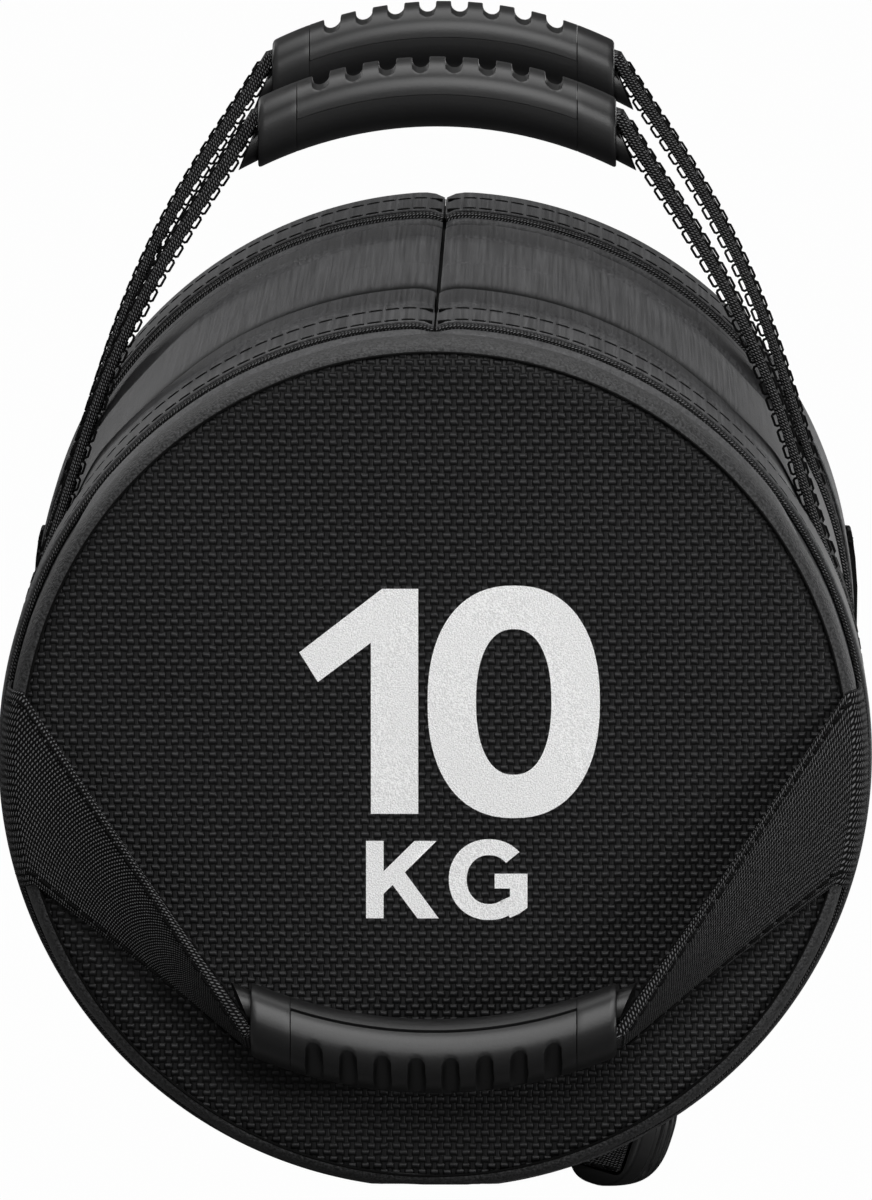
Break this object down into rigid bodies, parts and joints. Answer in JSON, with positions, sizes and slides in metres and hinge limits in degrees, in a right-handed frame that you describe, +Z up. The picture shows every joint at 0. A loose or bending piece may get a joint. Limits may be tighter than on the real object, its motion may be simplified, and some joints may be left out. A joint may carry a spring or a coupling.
{
  "type": "training sandbag",
  "caption": "Stuffed cylindrical training sandbag with webbing bands, two top handles, a handle across each end and one lengthwise handle below.",
  "frame": {"origin": "below the bag's axis at mid-length, level with the lowest point, which is on the belly handle's grip", "axes": "+Z up; the bag's axis is along Y with the marked end towards -Y; +X is to the right of someone facing that end"},
  "size_m": [0.2354, 0.5674, 0.3234],
  "materials": {
    "coated_cloth": "smooth coated cloth, satin, finely streaked",
    "embossed_cloth": "coated cloth embossed with a basket weave",
    "webbing": "woven polyester webbing",
    "grip_rubber": "moulded, satin",
    "core_rubber": "moulded, smooth",
    "wadding": "pressed fibre wadding",
    "liner_film": "woven plastic film",
    "sand": "dry sand",
    "tie_cord": "twisted cord"
  },
  "bodies": {
    "bag": {"body_cover": "coated_cloth", "seam_tape": "coated_cloth", "front_end_panel": "embossed_cloth", "rear_end_panel": "embossed_cloth", "front_rim_welt": "coated_cloth", "rear_rim_welt": "coated_cloth", "front_end_band": "webbing", "rear_end_band": "webbing", "front_belly_strap": "webbing", "rear_belly_strap": "webbing", "front_end_handle_left_anchor": "webbing", "front_end_handle_right_anchor": "webbing", "rear_end_handle_left_anchor": "webbing", "rear_end_handle_right_anchor": "webbing", "belly_handle_front_anchor": "webbing", "belly_handle_rear_anchor": "webbing", "front_wadding_pad": "wadding", "rear_wadding_pad": "wadding", "wadding_tube": "wadding", "sand_bag_liner": "liner_film", "sand_fill": "sand", "liner_tie": "tie_cord"},
    "front_top_handle": {"front_top_handle_webbing": "webbing", "front_top_handle_grip_core": "core_rubber", "front_top_handle_grip_sleeve": "grip_rubber", "front_top_handle_grip_saddle": "grip_rubber"},
    "rear_top_handle": {"rear_top_handle_webbing": "webbing", "rear_top_handle_grip_core": "core_rubber", "rear_top_handle_grip_sleeve": "grip_rubber", "rear_top_handle_grip_saddle": "grip_rubber"},
    "front_end_handle": {"front_end_handle_webbing": "webbing", "front_end_handle_grip_core": "core_rubber", "front_end_handle_grip_sleeve": "grip_rubber", "front_end_handle_grip_saddle": "grip_rubber"},
    "rear_end_handle": {"rear_end_handle_webbing": "webbing", "rear_end_handle_grip_core": "core_rubber", "rear_end_handle_grip_sleeve": "grip_rubber", "rear_end_handle_grip_saddle": "grip_rubber"},
    "belly_handle": {"belly_handle_webbing": "webbing", "belly_handle_grip_core": "core_rubber", "belly_handle_grip_sleeve": "grip_rubber", "belly_handle_grip_saddle": "grip_rubber"}
  },
  "joints": [
    {"name": "front_top_handle_swing", "type": "hinge", "parent": "bag", "child": "front_top_handle", "pos_m": [0, -0.13, 0.18691], "axis": [1, 0, 0], "range_deg": [-45, 45], "deforming": ["front_top_handle_webbing"]},
    {"name": "rear_top_handle_swing", "type": "hinge", "parent": "bag", "child": "rear_top_handle", "pos_m": [0, 0.13, 0.18691], "axis": [1, 0, 0], "range_deg": [-45, 45], "deforming": ["rear_top_handle_webbing"]},
    {"name": "front_end_handle_lift", "type": "hinge", "parent": "bag", "child": "front_end_handle", "pos_m": [0, -0.25, 0.13539], "axis": [-1, 0, 0], "range_deg": [0, 120], "deforming": ["front_end_handle_webbing"]},
    {"name": "rear_end_handle_lift", "type": "hinge", "parent": "bag", "child": "rear_end_handle", "pos_m": [0, 0.25, 0.13539], "axis": [1, 0, 0], "range_deg": [0, 120], "deforming": ["rear_end_handle_webbing"]},
    {"name": "belly_handle_swing", "type": "hinge", "parent": "bag", "child": "belly_handle", "pos_m": [0.01802, 0, 0.02629], "axis": [0, 1, 0], "range_deg": [0, 130], "deforming": ["belly_handle_webbing"]}
  ]
}
